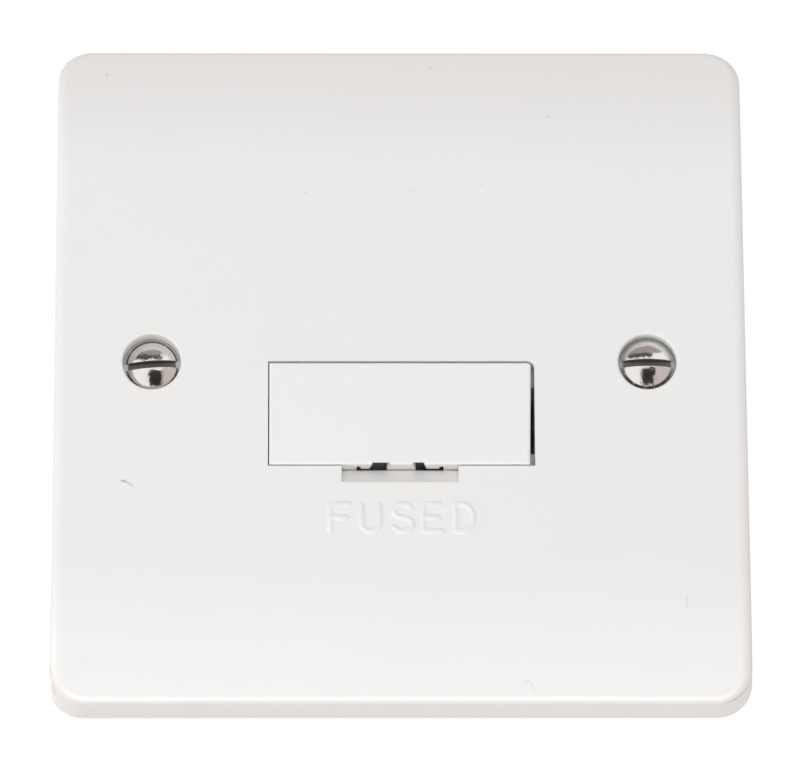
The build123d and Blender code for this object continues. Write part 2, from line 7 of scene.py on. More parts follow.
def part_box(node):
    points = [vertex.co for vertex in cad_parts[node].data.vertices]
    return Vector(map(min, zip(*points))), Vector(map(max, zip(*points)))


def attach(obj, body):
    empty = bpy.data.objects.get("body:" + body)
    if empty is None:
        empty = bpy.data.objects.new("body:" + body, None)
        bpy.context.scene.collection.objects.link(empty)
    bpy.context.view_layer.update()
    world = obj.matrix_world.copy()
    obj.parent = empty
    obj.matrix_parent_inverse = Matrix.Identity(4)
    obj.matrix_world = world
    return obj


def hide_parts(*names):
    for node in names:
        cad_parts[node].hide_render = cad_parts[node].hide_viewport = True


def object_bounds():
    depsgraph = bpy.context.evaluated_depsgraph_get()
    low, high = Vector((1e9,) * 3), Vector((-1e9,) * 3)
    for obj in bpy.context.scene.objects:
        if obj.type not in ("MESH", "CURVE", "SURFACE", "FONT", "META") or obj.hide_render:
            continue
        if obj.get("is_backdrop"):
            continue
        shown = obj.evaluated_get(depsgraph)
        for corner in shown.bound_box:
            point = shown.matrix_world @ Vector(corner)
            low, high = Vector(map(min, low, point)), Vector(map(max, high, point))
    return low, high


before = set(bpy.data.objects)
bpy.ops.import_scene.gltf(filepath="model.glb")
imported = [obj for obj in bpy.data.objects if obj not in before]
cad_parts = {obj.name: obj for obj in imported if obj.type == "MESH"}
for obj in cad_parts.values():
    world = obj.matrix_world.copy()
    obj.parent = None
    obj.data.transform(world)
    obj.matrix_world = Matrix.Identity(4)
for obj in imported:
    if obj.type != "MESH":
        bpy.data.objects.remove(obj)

cad_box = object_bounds()

# Rear housing: the dark tray that holds the terminals, compression moulded in black thermoset.
# Four screws hold it on the plate. The mould leaves a matt skin with a fine grain, faint flow marks
# and paler, rubbed corners.
mm = 0.001
soot, charcoal = (0.0125, 0.0125, 0.0135), (0.023, 0.0225, 0.022)
dust_grey, rubbed_grey = (0.052, 0.05, 0.047), (0.085, 0.083, 0.08)


class Field:
    """A value, colour or vector of one material, for use in sums and in the sockets of further nodes."""

    def __init__(self, tree, socket):
        self.tree = tree
        self.socket = socket

    def node(self, kind, settings=None, sockets=None, output=0):
        """One output of a new node, which has its settings made first and its sockets filled or linked."""
        made = self.tree.nodes.new(kind)
        for name, value in (settings or {}).items():
            setattr(made, name, value)
        for name, value in (sockets or {}).items():
            if isinstance(value, Field):
                self.tree.links.new(value.socket, made.inputs[name])
            else:
                made.inputs[name].default_value = value
        return Field(self.tree, made.outputs[output])

    def math(self, operation, *values):
        """A Math node on fields and numbers."""
        return self.node("ShaderNodeMath", {"operation": operation}, dict(enumerate(values)))

    def vector_math(self, operation, other, output=0):
        """A Vector Math node on this and another vector."""
        return self.node("ShaderNodeVectorMath", {"operation": operation}, {0: self, 1: other}, output)

    def __add__(self, other):
        return self.math("ADD", self, other)

    __radd__ = __add__

    def __mul__(self, other):
        return self.math("MULTIPLY", self, other)

    __rmul__ = __mul__

    def __sub__(self, other):
        return self.math("SUBTRACT", self, other)

    def __rsub__(self, other):
        return self.math("SUBTRACT", other, self)

    def __truediv__(self, other):
        return self.math("DIVIDE", self, other)

    def __pow__(self, power):
        return self.math("POWER", self, power)

    def __abs__(self):
        return self.math("ABSOLUTE", self)

    def step(self, low, high):
        """0 below low, 1 above high and smooth between them. It falls instead where low is the larger."""
        ends = {"Value": self, "From Min": low, "From Max": high}
        return self.node("ShaderNodeMapRange", {"interpolation_type": "SMOOTHSTEP"}, ends)

    def blend(self, first, second):
        """The first colour where this is 0 and the second where it is 1."""
        first, second = (end if isinstance(end, Field) else (*end, 1) for end in (first, second))
        # A Mix node's sockets 6 and 7 and its output 2 are the ones for colours.
        return self.node("ShaderNodeMix", {"data_type": "RGBA"}, {0: self, 6: first, 7: second}, 2)

    def stretched(self, x, y, z):
        """These coordinates scaled along each axis, for streaks and lines."""
        return self.vector_math("MULTIPLY", (x, y, z))

    def noise(self, size, detail=2.0, roughness=0.5):
        """Smooth random values from about 0 to 1 whose blotches are about as large as size, in metres."""
        sockets = {"Vector": self, "Scale": 1 / size, "Detail": detail, "Roughness": roughness}
        return self.node("ShaderNodeTexNoise", None, sockets)

    def axis(self, name):
        """One of X, Y and Z of these coordinates."""
        return self.node("ShaderNodeSeparateXYZ", None, {0: self}, name)

    def bump(self, distance, strength=1.0, normal=None):
        """Normals of a relief whose height is this value times a distance in metres."""
        sockets = {"Height": self, "Distance": distance, "Strength": strength}
        if normal:
            sockets["Normal"] = normal
        return self.node("ShaderNodeBump", None, sockets)

    def into(self, shader, name):
        """Links this to one of a shader's sockets."""
        self.tree.links.new(self.socket, shader.inputs[name])


def new_finish(name, **constants):
    """A material with one Principled shader, and the coordinates of the object that it is on."""
    finish = bpy.data.materials.new(name)
    finish.use_nodes = True
    shader = finish.node_tree.nodes["Principled BSDF"]
    for socket, value in constants.items():
        shader.inputs[socket.replace("_", " ")].default_value = value
    coordinates = finish.node_tree.nodes.new("ShaderNodeTexCoord")
    return finish, shader, Field(finish.node_tree, coordinates.outputs["Object"])


def soft_edges(place, radius):
    """Normals that round every edge by a radius, as a mould or a tumbling barrel does."""
    return place.node("ShaderNodeBevel", {"samples": 4}, {"Radius": radius})


def surface_normal(place):
    return place.node("ShaderNodeNewGeometry", None, None, "Normal")


def worn_edges(place, radius):
    """About 0 on flat parts, rising where the normal is turned by an edge nearby."""
    turned = surface_normal(place).vector_math("DOT_PRODUCT", soft_edges(place, radius), "Value")
    return turned.step(0.995, 0.8)


def dress(node, finish):
    """Puts a finish on a CAD node."""
    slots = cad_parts[node].data.materials
    slots.clear()
    slots.append(finish)


thermoset, shader, place = new_finish("black_thermoset", IOR=1.55)
flow = place.stretched(1, 1, 0.35).noise(9 * mm, detail=4)
grain = place.noise(0.32 * mm, detail=3, roughness=0.6)
bloom = place.noise(16 * mm, detail=5, roughness=0.65).step(0.48, 0.75)
rubbed = worn_edges(place, 0.35 * mm) * place.noise(2.5 * mm, detail=3).step(0.4, 0.65)
dusty = (bloom * 0.35).blend(flow.blend(soot, charcoal), dust_grey)
(rubbed * 0.6).blend(dusty, rubbed_grey).into(shader, "Base Color")
(0.4 + 0.18 * flow + 0.12 * bloom).into(shader, "Roughness")
skin = (grain + 0.5 * flow).bump(0.035 * mm, strength=0.6, normal=soft_edges(place, 0.25 * mm))
skin.into(shader, "Normal")
dress("rear_housing", thermoset)

# Terminals: brass blocks sawn from drawn bar and drilled through for the wires, pushed into the housing.
# Drawing leaves fine lines along the bar, and handling leaves a warmer, duller tarnish in blotches.
brass_deep, brass_pale, brass_tarnish = (0.72, 0.5, 0.2), (0.83, 0.62, 0.29), (0.46, 0.29, 0.11)

brass, shader, place = new_finish("drawn_brass", Metallic=1.0)
lines = place.stretched(1, 1, 0.03).noise(0.09 * mm, detail=3)
tarnish = place.noise(4.5 * mm, detail=5, roughness=0.6).step(0.42, 0.72)
(tarnish * 0.55).blend(lines.blend(brass_deep, brass_pale), brass_tarnish).into(shader, "Base Color")
(0.24 + 0.14 * lines + 0.16 * tarnish).into(shader, "Roughness")
lines.bump(0.012 * mm, strength=0.5, normal=soft_edges(place, 0.12 * mm)).into(shader, "Normal")
for terminal in ("live_supply", "live_load", "neutral_supply", "neutral_load"):
    dress(terminal + "_terminal", brass)
dress("earth_terminal", brass)

# Fuse clips, neutral link and earth strap: pressed from tinned copper strip, bent up and riveted on.
# The tin is pale with rolling lines along the strip, and the copper shows on the sheared edges.
tin_deep, tin_pale, tin_dull = (0.66, 0.66, 0.65), (0.78, 0.78, 0.765), (0.5, 0.5, 0.48)
bare_copper = (0.72, 0.39, 0.24)

tinned, shader, place = new_finish("tinned_copper", Metallic=1.0)
rolling = place.stretched(0.04, 1, 1).noise(0.12 * mm, detail=3)
dull = place.noise(3.0 * mm, detail=4, roughness=0.6).step(0.4, 0.7)
sheared = worn_edges(place, 0.16 * mm) * place.noise(0.8 * mm).step(0.42, 0.6)
worn_tin = (dull * 0.5).blend(rolling.blend(tin_deep, tin_pale), tin_dull)
(sheared * 0.7).blend(worn_tin, bare_copper).into(shader, "Base Color")
(0.26 + 0.1 * rolling + 0.18 * dull).into(shader, "Roughness")
rolling.bump(0.01 * mm, strength=0.5, normal=soft_edges(place, 0.1 * mm)).into(shader, "Normal")
for strip in ("supply_fuse_clip", "load_fuse_clip", "neutral_link", "earth_strap"):
    dress(strip, tinned)

# Rivets: solid brass, closed over the strips by a rotating punch.
# The punch leaves small dents on each head, with darker grime between them.
rivet_brass, rivet_grime = (0.76, 0.54, 0.24), (0.4, 0.26, 0.1)

riveted, shader, place = new_finish("punched_brass", Metallic=1.0)
dents = place.noise(0.5 * mm)
grime_and_painted_shade = place.noise(1.4 * mm, detail=4).step(0.45, 0.7)
(grime_and_painted_shade * 0.6).blend(rivet_brass, rivet_grime).into(shader, "Base Color")
(0.3 + 0.2 * dents).into(shader, "Roughness")
dents.bump(0.05 * mm, strength=0.6, normal=soft_edges(place, 0.2 * mm)).into(shader, "Normal")
for rivet in ("clip_rivets", "link_rivets", "earth_rivet"):
    dress(rivet, riveted)

# Clamp screws: turned brass cheese-head screws with a driver slot and a rolled thread, backed out ready
# for the wires. Each pair is one node, and the heads stand out of their holes in the housing's back.
clamp_low, clamp_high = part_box("live_terminal_screws")
clamp_tip, clamp_end = clamp_low.y, clamp_high.y
clamp_point, clamp_point_length = 1.2 * mm, 0.4 * mm
clamp_core, clamp_crest, clamp_pitch = 1.62 * mm, 2.0 * mm, 0.7 * mm
clamp_head, clamp_seat = 2.8 * mm, clamp_end - 1.5 * mm
clamp_slot_width, clamp_slot_depth, clamp_slot_reach = 1.0 * mm, 0.8 * mm, 7 * mm
clamp_turns = {"live": (0.32, -0.85), "neutral": (1.2, 0.1), "earth": (-0.4, 0.75)}
thread_sunk = 0.05 * mm
turned_deep, turned_pale, turned_scuff = (0.74, 0.53, 0.22), (0.84, 0.64, 0.31), (0.5, 0.33, 0.14)


def select_only(piece):
    bpy.ops.object.select_all(action="DESELECT")
    piece.select_set(True)
    bpy.context.view_layer.objects.active = piece


def edit(piece):
    select_only(piece)
    bpy.ops.object.mode_set(mode="EDIT")


def leave_edit():
    bpy.ops.object.mode_set(mode="OBJECT")
    return bpy.context.object


def turn_faces_out():
    """Makes every face of the piece in edit mode point outwards."""
    bpy.ops.mesh.select_all(action="SELECT")
    bpy.ops.mesh.normals_make_consistent(inside=False)


def close_ends():
    """Fills the open ends of the piece in edit mode."""
    bpy.ops.mesh.select_all(action="SELECT")
    bpy.ops.mesh.fill_holes(sides=0)


def turned(name, rings, sides=64):
    """A turned solid about the Y axis, drawn out ring by ring. A ring is a radius and a place in Y."""
    smallest = 1e-6
    radius, y = rings[0]
    across = (math.pi / 2, 0, 0)
    bpy.ops.object.select_all(action="DESELECT")
    bpy.ops.mesh.primitive_circle_add(vertices=sides, radius=radius, location=(0, y, 0), rotation=across)
    piece = bpy.context.object
    piece.name = name
    bpy.ops.object.transform_apply()
    edit(piece)
    bpy.ops.mesh.select_all(action="SELECT")
    for next_radius, next_y in rings[1:]:
        bpy.ops.mesh.extrude_edges_move(TRANSFORM_OT_translate={"value": (0, next_y - y, 0)})
        scale = max(next_radius, smallest) / radius
        bpy.ops.transform.resize(value=(scale, 1, scale), center_override=(0, next_y, 0))
        radius, y = max(next_radius, smallest), next_y
    if rings[-1][0] == 0:
        bpy.ops.mesh.merge(type="CENTER")
    close_ends()
    turn_faces_out()
    return leave_edit()


def apply(piece, modifier):
    bpy.context.view_layer.objects.active = piece
    bpy.ops.object.modifier_apply(modifier=modifier.name)


def cut_slot(piece, width, low_y, high_y, reach, turn=0.0, finish=None):
    """A driver slot sawn straight across the head, turned about the screw's axis, with its own finish."""
    bpy.ops.object.select_all(action="DESELECT")
    bpy.ops.mesh.primitive_cube_add(size=1, location=(0, (low_y + high_y) / 2, 0), rotation=(0, turn, 0))
    saw = bpy.context.object
    saw.scale = (reach, high_y - low_y, width)
    bpy.ops.object.transform_apply()
    cut = piece.modifiers.new("slot", "BOOLEAN")
    cut.operation = "DIFFERENCE"
    cut.solver = "EXACT"
    cut.object = saw
    if finish:
        saw.data.materials.append(finish)
        cut.material_mode = "TRANSFER"
    apply(piece, cut)
    bpy.data.objects.remove(saw)


def break_edges(piece, width, angle=32):
    """Small flats on the sharp edges, then smooth shading on all that is left."""
    flats = piece.modifiers.new("edges", "BEVEL")
    flats.width = width
    flats.segments = 2
    flats.limit_method = "ANGLE"
    flats.angle_limit = math.radians(angle)
    apply(piece, flats)
    select_only(piece)
    bpy.ops.object.shade_smooth_by_angle(angle=math.radians(angle))


def rolled_thread(core, crest, pitch, low_y, high_y, sides=24):
    """One continuous tooth wound around the core: a flat profile carried along a screw line."""
    root_share, tip_share = 0.86, 0.16
    bpy.ops.object.select_all(action="DESELECT")
    bpy.ops.mesh.primitive_plane_add(size=1)
    tooth = bpy.context.object
    edit(tooth)
    bpy.ops.mesh.select_all(action="SELECT")
    bpy.ops.transform.resize(value=(crest - core, root_share * pitch, 1), center_override=(0, 0, 0))
    bpy.ops.transform.translate(value=((core + crest) / 2, low_y, 0))
    bpy.ops.mesh.select_all(action="DESELECT")
    leave_edit()
    for corner in tooth.data.vertices:
        corner.select = corner.co.x > (core + crest) / 2
    bpy.ops.object.mode_set(mode="EDIT")
    bpy.ops.mesh.select_mode(type="VERT")
    bpy.ops.transform.resize(value=(1, tip_share, 1), center_override=(crest, low_y, 0))
    bpy.ops.mesh.select_all(action="SELECT")
    bpy.ops.mesh.delete(type="ONLY_FACE")
    leave_edit()
    wound = tooth.modifiers.new("thread", "SCREW")
    wound.axis = "Y"
    wound.screw_offset = pitch
    wound.iterations = int((high_y - low_y) / pitch)
    wound.steps = wound.render_steps = sides
    wound.use_merge_vertices = True
    wound.merge_threshold = 1e-7
    apply(tooth, wound)
    edit(tooth)
    close_ends()
    turn_faces_out()
    return leave_edit()


def join(name, pieces):
    bpy.ops.object.select_all(action="DESELECT")
    for piece in pieces:
        piece.select_set(True)
    bpy.context.view_layer.objects.active = pieces[0]
    bpy.ops.object.join()
    pieces[0].name = pieces[0].data.name = name
    return pieces[0]


def copy_to(piece, x, z, turn=0.0):
    """A copy with its own mesh, turned about its axis and moved across the face, its place in its mesh."""
    select_only(piece)
    bpy.ops.object.duplicate(linked=False)
    copy = bpy.context.object
    copy.location = (x, 0, z)
    copy.rotation_euler = (0, turn, 0)
    bpy.ops.object.transform_apply()
    return copy


clamp = turned(
    "clamp_screw",
    [
        (clamp_point, clamp_tip),
        (clamp_core, clamp_tip + clamp_point_length),
        (clamp_core, clamp_seat),
        (clamp_head, clamp_seat),
        (clamp_head, clamp_end - 0.3 * mm),
        (clamp_head - 0.12 * mm, clamp_end - 0.1 * mm),
        (clamp_head - 0.4 * mm, clamp_end),
    ],
)
cut_slot(clamp, clamp_slot_width, clamp_end - clamp_slot_depth, clamp_end + mm, clamp_slot_reach)
break_edges(clamp, 0.06 * mm)
thread_low = clamp_tip + clamp_point_length + thread_sunk
thread = rolled_thread(clamp_core - thread_sunk, clamp_crest, clamp_pitch, thread_low, clamp_seat)
clamp = join("clamp_screw", [clamp, thread])

clamp_brass, shader, place = new_finish("turned_brass", Metallic=1.0)
turning = place.stretched(0.2, 1, 0.2).noise(0.1 * mm)
scuffs = place.noise(0.7 * mm, detail=4, roughness=0.65).step(0.5, 0.72)
polished = worn_edges(place, 0.2 * mm)
(scuffs * 0.5).blend(turning.blend(turned_deep, turned_pale), turned_scuff).into(shader, "Base Color")
(0.22 + 0.12 * turning + 0.2 * scuffs - 0.06 * polished).into(shader, "Roughness")
(turning + scuffs).bump(0.012 * mm, strength=0.5).into(shader, "Normal")
for circuit, turns in clamp_turns.items():
    low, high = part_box(circuit + "_terminal_screws")
    places_x = (low.x + clamp_head, high.x - clamp_head)
    pair = [copy_to(clamp, x, (low.z + high.z) / 2, turn) for x, turn in zip(places_x, turns)]
    screws = join(circuit + "_clamp_screws", pair)
    screws.data.materials.append(clamp_brass)
    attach(screws, "unit")
    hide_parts(circuit + "_terminal_screws")
bpy.data.objects.remove(clamp)

# Front plate: compression moulded in white urea, with a polished face that keeps a very slight orange peel.
# Handling has left a scuff on the left, hairline marks and specks. Painted shade darkens the lever notch,
# the right wall, and a sliver and a line on the walls near the lower corners.
face_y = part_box("front_plate")[0].y
plate_colour, fleck_brown = (0.835, 0.833, 0.825), (0.62, 0.6, 0.57)
scuff_grey, scuff_dark = (0.6, 0.585, 0.57), (0.36, 0.35, 0.34)
tick_grey, hair_grey = (0.66, 0.65, 0.63), (0.7, 0.69, 0.67)
speck_brown, smudge_grey = (0.55, 0.53, 0.5), (0.72, 0.71, 0.69)
sliver_painted_shade, crease_painted_shade, right_wall_painted_shade = (0.45, 0.41, 0.38), (0.42, 0.37, 0.35), (0.5, 0.44, 0.42)
notch_painted_shade = (0.72, 0.63, 0.6)
notch_half_width, notch_half_height, notch_middle_z = 7.1 * mm, 1.2 * mm, -14.6 * mm
notch_fade = 0.1 * mm


def face_distance(place, x, z):
    """Distance across the face from a place on it, in metres."""
    return place.stretched(1, 0, 1).vector_math("DISTANCE", (x, 0, z), "Value")


def spot(place, x, z, radius):
    """1 at a place on the face, falling to 0 at a radius from it. Places and radius are in mm."""
    return face_distance(place, x * mm, z * mm).step(radius * mm, 0.2 * radius * mm)


def stroke(place, points, width):
    """1 along a line through places on the face, falling to 0 at half its width to either side, in mm."""
    x, z = place.axis("X"), place.axis("Z")
    nearest = None
    for (x0, z0), (x1, z1) in zip(points, points[1:]):
        dx, dz = (x1 - x0) * mm, (z1 - z0) * mm
        along = ((x - x0 * mm) * dx + (z - z0 * mm) * dz) / (dx * dx + dz * dz)
        held = along.math("MINIMUM", along.math("MAXIMUM", along, 0.0), 1.0)
        off_x, off_z = x - x0 * mm - held * dx, z - z0 * mm - held * dz
        away = (off_x * off_x + off_z * off_z) ** 0.5
        nearest = away.math("MINIMUM", away, nearest) if nearest else away
    return nearest.step(width / 2 * mm, 0.1 * width * mm)


def white_moulding(name, colour, marks):
    """White urea with a slightly milky gloss. Marks are (mask, shade, strength)."""
    finish, shader, place = new_finish(name, IOR=1.5)
    clouds = place.noise(11 * mm, detail=3, roughness=0.55)
    flecks = place.noise(0.22 * mm).step(0.7, 0.78)
    peel = place.noise(1.3 * mm)
    handling = place.noise(6 * mm, detail=4, roughness=0.6).step(0.35, 0.75)
    darker = tuple(0.982 * part for part in colour)
    shade = (flecks * 0.06).blend(clouds.blend(darker, colour), fleck_brown)
    for mask, tone, strength in marks(place):
        shade = (mask * strength).blend(shade, tone)
    shade.into(shader, "Base Color")
    (0.38 + 0.05 * handling + 0.03 * clouds).into(shader, "Roughness")
    peel.bump(0.02 * mm, strength=0.12, normal=soft_edges(place, 0.24 * mm)).into(shader, "Normal")
    return finish


def facing_room(place):
    """1 on surfaces that look out into the room and 0 on walls and on the back."""
    return surface_normal(place).axis("Y").step(-0.3, -0.6)


def plate_marks(place):
    """The marks on the plate, and the shade painted on it, with their places in mm across the face."""
    front = facing_room(place)
    x, y, z = place.axis("X"), place.axis("Y"), place.axis("Z")
    scuff = stroke(place, [(-33.62, -15.4), (-33.41, -15.43), (-32.86, -15.64), (-32.38, -16.05)], 0.5)
    tick = stroke(place, [(34.41, -30.05), (34.31, -30.72), (34.43, -31.25)], 0.34)
    hook = stroke(place, [(14.85, -39.97), (15.52, -40.01), (15.74, -40.29), (16.0, -41.0)], 0.34)
    hair = stroke(place, [(1.2, 22.1), (1.58, 22.37), (1.9, 22.45)], 0.25)
    broken = place.noise(0.35 * mm).step(0.2, 0.45)
    darkest = spot(place, -33.41, -15.43, 0.5)
    yield front * scuff * broken, scuff_grey, 0.75
    yield front * scuff * darkest, scuff_dark, 0.6
    yield front * tick, tick_grey, 0.6
    yield front * hook, tick_grey, 0.55
    yield front * hair, hair_grey, 0.5
    for x_mm, z_mm, radius in (
        (18.35, 32.3, 0.3),
        (10.29, 23.02, 0.22),
        (-11.43, 21.99, 0.22),
        (3.94, 39.73, 0.28),
        (-36.05, 38.56, 0.3),
    ):
        yield front * spot(place, x_mm, z_mm, radius), speck_brown, 0.5
    smudge = spot(place, -37.84, -37.51, 1.0) * place.noise(0.9 * mm, detail=3)
    yield front * smudge, smudge_grey, 0.25
    # Painted shade: a dark sliver on the lower-left corner's wall, near its back edge.
    sliver = stroke(place, [(-42.4, -38.4), (-42.25, -39.4), (-41.8, -40.6)], 1.0)
    yield sliver * y.step(-2.4 * mm, -3.0 * mm), sliver_painted_shade, 0.45
    # Painted shade: a dark line on the lower-right corner's wall, at one depth.
    corner_shade_line = abs(y + 4.6 * mm).step(0.35 * mm, 0.1 * mm)
    yield corner_shade_line * spot(place, 41.2, -41.2, 3.4), crease_painted_shade, 0.6
    # Painted shade: the right wall darkened in blotches.
    yield x.step(41.9 * mm, 42.3 * mm) * place.noise(9 * mm, detail=3), right_wall_painted_shade, 0.35
    # Painted shade: the lever notch's floor is darkened and warmed.
    across = abs(x).step(notch_half_width + notch_fade, notch_half_width)
    up = abs(z - notch_middle_z).step(notch_half_height + notch_fade, notch_half_height)
    yield across * up * y.step(-8.95 * mm, -8.6 * mm), notch_painted_shade, 0.2


plate_white = white_moulding("white_plate_urea", plate_colour, plate_marks)
dress("front_plate", plate_white)

# Word on the plate: the generic function word for the fuse position, standing up a little from the face.
# A round-nosed cutter engraved it in the mould, so its strokes are soft ridges of the plate's own white urea.
word_top, word_bar, word_foot = -18.38, -20.12, -21.85
f_left, e_left, d_left = -8.49, 2.75, 6.61
ridge_half_width, ridge_half_depth, ridge_sunk = 0.42 * mm, 0.26 * mm, 0.1 * mm
ridge_end, ridge_end_scale = 0.3, 0.5


def arc(x, z, across, up, start, end, steps=14):
    """Places along an ellipse from one angle to another, in degrees anticlockwise from the right."""
    angles = [math.radians(start + (end - start) * step / steps) for step in range(steps + 1)]
    return [(x + across * math.cos(angle), z + up * math.sin(angle)) for angle in angles]


def beyond(last, before):
    """A place a little past the end of a line, for the rounded end of its ridge."""
    reach = ridge_end / math.dist(last, before)
    return tuple(a + reach * (a - b) for a, b in zip(last, before))


def drawn_line(points):
    """A line through places on the face, drawn out point by point."""
    x, z = points[0]
    bpy.ops.object.select_all(action="DESELECT")
    bpy.ops.mesh.primitive_plane_add(size=mm, location=(x * mm, 0, z * mm))
    line = bpy.context.object
    bpy.ops.object.transform_apply()
    edit(line)
    bpy.ops.mesh.select_all(action="SELECT")
    bpy.ops.mesh.merge(type="CENTER")
    for next_x, next_z in points[1:]:
        move = ((next_x - x) * mm, 0, (next_z - z) * mm)
        bpy.ops.mesh.extrude_region_move(TRANSFORM_OT_translate={"value": move})
        x, z = next_x, next_z
    return leave_edit()


letters = {
    "F": [
        [(f_left, word_foot), (f_left, word_top), (-6.2, word_top)],
        [(f_left, word_bar), (-6.55, word_bar)],
    ],
    "U": [[(-4.7, word_top), *arc(-3.62, -20.77, 1.08, 1.08, 180, 360), (-2.54, word_top)]],
    "S": [[*arc(0.28, -19.25, 1.08, 0.87, 20, 270), *arc(0.28, -20.985, 1.15, 0.865, 90, -160)[1:]]],
    "E": [
        [(5.1, word_foot), (e_left, word_foot), (e_left, word_top), (4.85, word_top)],
        [(e_left, word_bar), (4.55, word_bar)],
    ],
    "D": [
        [
            (d_left, word_foot),
            (d_left, word_top),
            *arc(7.4, -20.115, 1.375, 1.735, 90, -90),
            (d_left, word_foot),
        ],
    ],
}
ridges = []
for strokes in letters.values():
    for points in strokes:
        ridges.append(drawn_line([beyond(points[0], points[1]), *points, beyond(points[-1], points[-2])]))
join("raised_word", ridges)
bpy.ops.object.convert(target="CURVE")
word = bpy.context.object
word.data.bevel_depth = ridge_half_width
word.data.bevel_resolution = 8
word.data.use_fill_caps = True
for ridge in word.data.splines:
    ridge.points[0].radius = ridge.points[-1].radius = ridge_end_scale
bpy.ops.object.convert(target="MESH")
word = bpy.context.object
word.scale.y = ridge_half_depth / ridge_half_width
word.location.y = face_y + ridge_sunk
bpy.ops.object.transform_apply()
edit(word)
turn_faces_out()
leave_edit()
bpy.ops.object.shade_smooth_by_angle(angle=math.radians(40))
word.data.materials.clear()
word.data.materials.append(plate_white)
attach(word, "unit")

# Fuse carrier: moulded from the same white urea in its own tool, a trace lighter than the plate.
# It slides in the plate's sleeve and carries the fuse in an open-topped cradle.
carrier_colour, rubbing_grey = (0.85, 0.849, 0.842), (0.66, 0.65, 0.63)


def carrier_marks(place):
    """A hair on the carrier's face, and rubbing along the parts that slide in the sleeve."""
    hair = stroke(place, [(3.7, -3.2), (3.99, -3.39), (4.2, -3.7)], 0.22)
    in_sleeve = place.axis("Y").step(-7.5 * mm, -5.0 * mm)
    rubbing = in_sleeve * place.stretched(1, 0.05, 1).noise(0.4 * mm).step(0.6, 0.75)
    yield facing_room(place) * hair, hair_grey, 0.5
    yield rubbing, rubbing_grey, 0.25


dress("fuse_carrier", white_moulding("white_carrier_urea", carrier_colour, carrier_marks))

# Fuse tube: fired ceramic, glazed off-white, filled with sand and closed by the two end caps.
# Firing leaves fine brown specks and a slightly uneven glaze.
glaze_deep, glaze_pale, kiln_speck = (0.74, 0.71, 0.64), (0.8, 0.78, 0.72), (0.42, 0.33, 0.24)

glazed, shader, place = new_finish("fuse_glaze", Coat_Weight=0.3, IOR=1.5)
glaze = place.noise(5 * mm, detail=3).blend(glaze_deep, glaze_pale)
fired = place.noise(0.25 * mm).step(0.68, 0.76)
(fired * 0.5).blend(glaze, kiln_speck).into(shader, "Base Color")
(0.22 + 0.15 * place.noise(2 * mm, detail=3)).into(shader, "Roughness")
place.noise(1.1 * mm, detail=3).bump(0.03 * mm, strength=0.3).into(shader, "Normal")
dress("fuse_tube", glazed)

# Fuse caps: drawn brass cups, nickel plated and pressed on the ends of the tube.
# Drawing leaves lines around the cup, and the jaws of the clips have scored them along the fuse.
cap_bright, cap_scored = (0.72, 0.7, 0.66), (0.5, 0.47, 0.42)

plated, shader, place = new_finish("cap_nickel", Metallic=1.0)
drawn = place.stretched(1, 0.1, 0.1).noise(0.1 * mm)
scored = place.stretched(0.06, 1, 1).noise(0.2 * mm).step(0.58, 0.72)
(scored * 0.5).blend(cap_bright, cap_scored).into(shader, "Base Color")
(0.2 + 0.1 * drawn + 0.2 * scored).into(shader, "Roughness")
(drawn - scored).bump(0.015 * mm, strength=0.5).into(shader, "Normal")
for cap in ("fuse_cap_left", "fuse_cap_right"):
    dress(cap, plated)

# Housing screws: zinc-plated steel self-tapping screws with pan heads, driven from behind through the ears.
# They hold the rear housing on the plate's four pillars.
tapping_low, tapping_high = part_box("housing_screws")
tapping_tip, tapping_end = tapping_low.y, tapping_high.y
tapping_point, tapping_point_length, tapping_thread_start = 0.35 * mm, 1.6 * mm, 1.5 * mm
tapping_core, tapping_crest, tapping_pitch = 1.05 * mm, 1.45 * mm, 1.1 * mm
tapping_head, tapping_seat = 2.7 * mm, tapping_end - 1.8 * mm
tapping_slot_width, tapping_slot_depth, tapping_slot_reach = 0.8 * mm, 0.8 * mm, 7 * mm
tapping_turns = (0.5, -0.2, 1.1, -0.7)
tapping_x = tapping_high.x - tapping_head
tapping_rows = (tapping_low.z + tapping_head, tapping_high.z - tapping_head)
zinc_deep, zinc_pale, zinc_dull = (0.5, 0.51, 0.52), (0.64, 0.65, 0.66), (0.36, 0.36, 0.36)

tapping = turned(
    "tapping_screw",
    [
        (tapping_point, tapping_tip),
        (tapping_core, tapping_tip + tapping_point_length),
        (tapping_core, tapping_seat),
        (tapping_head - 0.15 * mm, tapping_seat),
        (tapping_head, tapping_seat + 0.2 * mm),
        (tapping_head, tapping_seat + 0.7 * mm),
        (0.95 * tapping_head, tapping_seat + 1.15 * mm),
        (0.82 * tapping_head, tapping_seat + 1.5 * mm),
        (0.6 * tapping_head, tapping_end - 0.08 * mm),
        (0.3 * tapping_head, tapping_end - 0.01 * mm),
        (0, tapping_end),
    ],
)
cut_slot(tapping, tapping_slot_width, tapping_end - tapping_slot_depth, tapping_end + mm, tapping_slot_reach)
break_edges(tapping, 0.05 * mm)
thread_low = tapping_tip + tapping_thread_start
thread = rolled_thread(tapping_core - thread_sunk, tapping_crest, tapping_pitch, thread_low, tapping_seat)
tapping = join("tapping_screw", [tapping, thread])
tapping_places = [(x, z) for z in tapping_rows for x in (-tapping_x, tapping_x)]
driven = [copy_to(tapping, x, z, turn) for (x, z), turn in zip(tapping_places, tapping_turns)]
housing_screws = join("tapping_screws", driven)
bpy.data.objects.remove(tapping)

